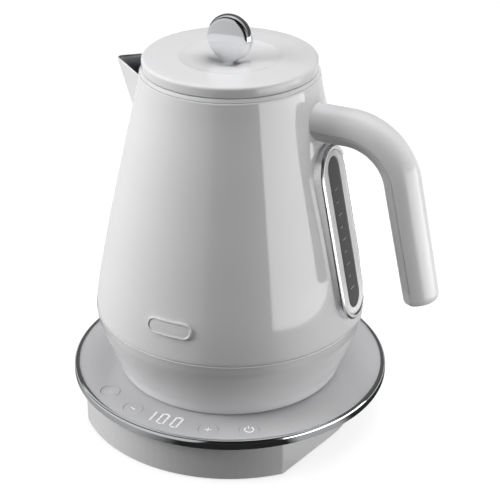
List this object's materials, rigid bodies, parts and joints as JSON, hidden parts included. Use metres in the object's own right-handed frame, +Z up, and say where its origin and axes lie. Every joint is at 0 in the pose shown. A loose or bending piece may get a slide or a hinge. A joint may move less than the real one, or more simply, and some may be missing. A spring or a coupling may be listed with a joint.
{
  "type": "electric kettle with powered base",
  "caption": "Cordless electric jug kettle with short V spout, open-ended handle, level window and lift-off lid, on a round powered base with controls and display.",
  "frame": {"origin": "point where the kettle's axis meets the table, under the middle of the base", "axes": "+Z up along the kettle's axis, +X towards the handle, -X towards the spout, -Y towards the controls and the badge"},
  "size_m": [0.2358, 0.2, 0.2595],
  "materials": {
    "white_gloss": "glossy white moulding",
    "white_paint": "glossy white enamel paint",
    "white_satin": "satin white moulding",
    "chrome_trim": "polished chrome",
    "brushed_steel": "brushed stainless steel",
    "aluminium_heater": "cast and tubular",
    "black_plastic": "fine matte",
    "smoke_window": "clear, smoky tint",
    "silicone": "matte translucent silicone",
    "foot_rubber": "matte",
    "brass_contact": "plated",
    "board_green": "solder resist",
    "light_guide": "translucent, lit white",
    "print_white": "printed ink",
    "badge_metal": "satin, no lettering"
  },
  "bodies": {
    "base": {"base_lower_housing": "white_gloss", "base_tray": "white_gloss", "base_top_cover": "white_gloss", "base_trim_ring": "chrome_trim", "base_bottom_plate": "white_satin", "base_feet": "foot_rubber", "base_screws": "brushed_steel", "base_connector": "black_plastic", "connector_contacts": "brass_contact", "cord_gland": "white_satin", "control_board": "board_green", "tact_switches": "black_plastic", "display_light_guide": "light_guide"},
    "kettle": {"bottom_band": "white_gloss", "kettle_underside": "white_satin", "underside_screws": "brushed_steel", "kettle_connector": "black_plastic", "kettle_contacts": "brass_contact", "heating_plate": "brushed_steel", "heating_element": "aluminium_heater", "floor_seal": "silicone", "temperature_sensor": "brushed_steel", "body_shell": "white_paint", "spout": "white_paint", "neck_ring": "white_gloss", "filter_frame": "brushed_steel", "filter_mesh": "brushed_steel", "gauge_frame": "chrome_trim", "gauge_inner_ring": "white_gloss", "gauge_window": "smoke_window", "gauge_seal": "silicone", "gauge_marks": "print_white", "badge_plate": "badge_metal", "handle_shell": "white_gloss", "handle_inner_cover": "white_satin", "handle_bracket": "brushed_steel", "handle_screws": "brushed_steel"},
    "lid": {"lid_cap": "white_gloss", "lid_inner": "white_satin", "lid_seal": "silicone", "knob": "chrome_trim", "knob_screw": "brushed_steel"},
    "button_warm": {"button_warm": "white_gloss"},
    "button_minus": {"button_minus": "white_gloss"},
    "button_plus": {"button_plus": "white_gloss"},
    "button_power": {"button_power": "white_gloss"}
  },
  "joints": [
    {"name": "kettle_lift", "type": "slide", "parent": "base", "child": "kettle", "axis": [0, 0, 1], "range_m": [0, 0.12]},
    {"name": "lid_lift", "type": "slide", "parent": "kettle", "child": "lid", "axis": [0, 0, 1], "range_m": [0, 0.06]},
    {"name": "button_warm_press", "type": "slide", "parent": "base", "child": "button_warm", "axis": [0, 0, -1], "range_m": [0, 0.0006], "stiffness_N_per_m": 600, "springref_m": -0.0004},
    {"name": "button_minus_press", "type": "slide", "parent": "base", "child": "button_minus", "axis": [0, 0, -1], "range_m": [0, 0.0006], "stiffness_N_per_m": 600, "springref_m": -0.0004},
    {"name": "button_plus_press", "type": "slide", "parent": "base", "child": "button_plus", "axis": [0, 0, -1], "range_m": [0, 0.0006], "stiffness_N_per_m": 600, "springref_m": -0.0004},
    {"name": "button_power_press", "type": "slide", "parent": "base", "child": "button_power", "axis": [0, 0, -1], "range_m": [0, 0.0006], "stiffness_N_per_m": 600, "springref_m": -0.0004}
  ]
}
